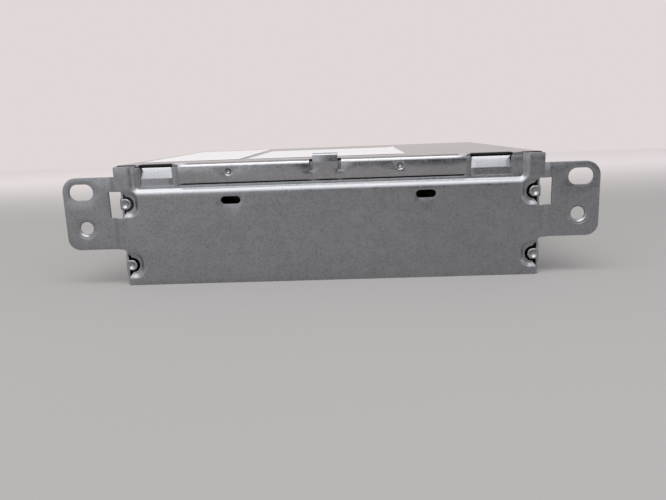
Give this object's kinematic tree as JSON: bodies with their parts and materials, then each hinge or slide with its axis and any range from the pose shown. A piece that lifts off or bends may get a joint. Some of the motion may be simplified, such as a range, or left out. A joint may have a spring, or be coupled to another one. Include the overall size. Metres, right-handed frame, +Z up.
{
  "type": "car radio unit",
  "caption": "Slim steel-cased car radio unit with a blank pressed front, slotted mounting ears, folded cover, rear sockets, finned cooler and small fan.",
  "frame": {"origin": "on the underside, below the middle of the whole unit's length, width and depth", "axes": "+X to the right seen from the front and along the ears, +Y from the blank front to the rear sockets, +Z up"},
  "size_m": [0.224, 0.1702, 0.0534],
  "materials": {
    "face_steel": "satin galvanised sheet",
    "case_steel": "satin galvanised sheet",
    "cover_steel": "satin galvanised sheet",
    "screw_steel": "dark zinc",
    "cast_aluminium": "die cast, matt",
    "tin_plate": "tin plated",
    "contact_tin": "tin plated brass",
    "black_plastic": "fine moulded grain",
    "fan_plastic": "moulded, satin",
    "aerial_blue": "moulded, satin",
    "aerial_violet": "moulded, satin",
    "aerial_cream": "moulded, satin",
    "ivory_plastic": "moulded, satin",
    "paper": "smooth label paper",
    "board_green": "solder resist",
    "chip_black": "moulded epoxy",
    "capacitor_sleeve": "shrunk sleeve",
    "ferrite": "sintered, matt"
  },
  "bodies": {
    "case": {"aerial_socket_1": "aerial_blue", "aerial_socket_2": "aerial_violet", "aerial_socket_3": "aerial_cream", "amplifier_chip": "chip_black", "amplifier_clamp": "case_steel", "base_plate": "case_steel", "base_screw_1": "screw_steel", "base_screw_2": "screw_steel", "base_screw_3": "screw_steel", "base_screw_4": "screw_steel", "board_link": "ivory_plastic", "board_pillar_1": "contact_tin", "board_pillar_2": "contact_tin", "board_screw_1": "screw_steel", "board_screw_2": "screw_steel", "board_screw_3": "screw_steel", "board_screw_4": "screw_steel", "capacitor_1": "capacitor_sleeve", "capacitor_2": "capacitor_sleeve", "capacitor_3": "capacitor_sleeve", "capacitor_4": "capacitor_sleeve", "clamp_screw": "screw_steel", "cover_screw_1": "screw_steel", "cover_screw_2": "screw_steel", "cover_screw_3": "screw_steel", "cover_screw_4": "screw_steel", "data_socket_1": "tin_plate", "data_socket_2": "tin_plate", "fan_frame": "fan_plastic", "fan_plug": "ivory_plastic", "fan_screw_1": "screw_steel", "fan_screw_2": "screw_steel", "fan_screw_3": "screw_steel", "fan_screw_4": "screw_steel", "front_plate": "face_steel", "harness_contacts": "contact_tin", "harness_socket": "black_plastic", "heat_sink": "cast_aluminium", "label_centre": "paper", "label_left": "paper", "left_side_plate": "case_steel", "main_board": "board_green", "power_coil": "ferrite", "processor_can": "tin_plate", "rear_plate": "case_steel", "rear_screw_1": "screw_steel", "rear_screw_2": "screw_steel", "rear_screw_3": "screw_steel", "rear_screw_4": "screw_steel", "right_side_plate": "case_steel", "sink_screw_1": "screw_steel", "sink_screw_2": "screw_steel", "top_cover": "cover_steel", "tuner_can": "tin_plate", "upper_board": "board_green"},
    "rotor": {"fan_rotor": "black_plastic"}
  },
  "joints": [
    {"name": "fan_spin", "type": "hinge", "parent": "case", "child": "rotor", "pos_m": [-0.0195, 0.07358, 0.0256], "axis": [0, 1, 0], "continuous": true}
  ]
}
